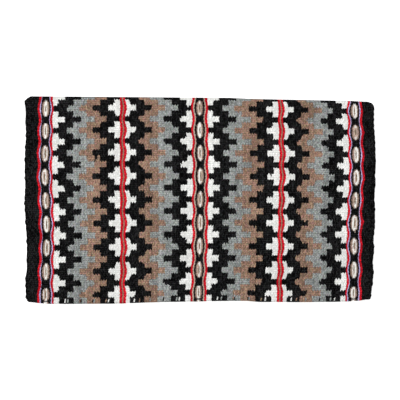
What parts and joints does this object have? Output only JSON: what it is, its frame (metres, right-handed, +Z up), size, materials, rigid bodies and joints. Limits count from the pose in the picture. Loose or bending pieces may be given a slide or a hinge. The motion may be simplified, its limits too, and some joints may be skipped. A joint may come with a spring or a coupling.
{
  "type": "saddle blanket",
  "caption": "Thick woven wool saddle blanket with stepped-cross, zigzag and bead-chain bands, folded in half along the spine line.",
  "frame": {"origin": "centre of the folded blanket's outline, on the surface it lies on", "axes": "+X along the spine fold from the front edge to the rear edge, +Y from the open side edges to the fold, +Z up through the folded layers"},
  "size_m": [0.864, 0.506, 0.0163],
  "materials": {
    "black_wool": "matte woven wool",
    "grey_wool": "matte woven wool",
    "taupe_wool": "matte woven wool",
    "red_wool": "matte woven wool",
    "cream_wool": "matte woven wool",
    "warp_yarn": "plied wool yarn"
  },
  "bodies": {
    "off_side": {"off_front_end_border": "black_wool", "off_front_bead_line_before": "red_wool", "off_front_bead_chain": "cream_wool", "off_front_bead_line_after": "red_wool", "off_panel_1_half_cross_ground": "black_wool", "off_panel_1_grey_zigzag": "grey_wool", "off_panel_1_taupe_zigzag": "taupe_wool", "off_panel_1_cross_ground": "black_wool", "off_front_cross_line": "red_wool", "off_panel_2_cross_ground": "black_wool", "off_panel_2_taupe_zigzag": "taupe_wool", "off_panel_2_grey_zigzag": "grey_wool", "off_panel_2_half_cross_ground": "black_wool", "off_middle_bead_line_before": "red_wool", "off_middle_bead_chain": "cream_wool", "off_middle_bead_line_after": "red_wool", "off_panel_3_half_cross_ground": "black_wool", "off_panel_3_grey_zigzag": "grey_wool", "off_panel_3_taupe_zigzag": "taupe_wool", "off_panel_3_cross_ground": "black_wool", "off_rear_cross_line": "red_wool", "off_panel_4_cross_ground": "black_wool", "off_panel_4_taupe_zigzag": "taupe_wool", "off_panel_4_grey_zigzag": "grey_wool", "off_panel_4_half_cross_ground": "black_wool", "off_rear_bead_line_before": "red_wool", "off_rear_bead_chain": "cream_wool", "off_rear_bead_line_after": "red_wool", "off_rear_end_border": "black_wool", "off_warp": "warp_yarn"},
    "near_side": {"near_front_end_border": "black_wool", "near_front_bead_line_before": "red_wool", "near_front_bead_chain": "cream_wool", "near_front_bead_line_after": "red_wool", "near_panel_1_half_cross_ground": "black_wool", "near_panel_1_grey_zigzag": "grey_wool", "near_panel_1_taupe_zigzag": "taupe_wool", "near_panel_1_cross_ground": "black_wool", "near_front_cross_line": "red_wool", "near_panel_2_cross_ground": "black_wool", "near_panel_2_taupe_zigzag": "taupe_wool", "near_panel_2_grey_zigzag": "grey_wool", "near_panel_2_half_cross_ground": "black_wool", "near_middle_bead_line_before": "red_wool", "near_middle_bead_chain": "cream_wool", "near_middle_bead_line_after": "red_wool", "near_panel_3_half_cross_ground": "black_wool", "near_panel_3_grey_zigzag": "grey_wool", "near_panel_3_taupe_zigzag": "taupe_wool", "near_panel_3_cross_ground": "black_wool", "near_rear_cross_line": "red_wool", "near_panel_4_cross_ground": "black_wool", "near_panel_4_taupe_zigzag": "taupe_wool", "near_panel_4_grey_zigzag": "grey_wool", "near_panel_4_half_cross_ground": "black_wool", "near_rear_bead_line_before": "red_wool", "near_rear_bead_chain": "cream_wool", "near_rear_bead_line_after": "red_wool", "near_rear_end_border": "black_wool", "near_warp": "warp_yarn"}
  },
  "joints": [
    {"name": "spine_fold", "type": "hinge", "parent": "off_side", "child": "near_side", "pos_m": [0, 0.25315, 0.00815], "axis": [-1, 0, 0], "range_deg": [0, 180]}
  ]
}
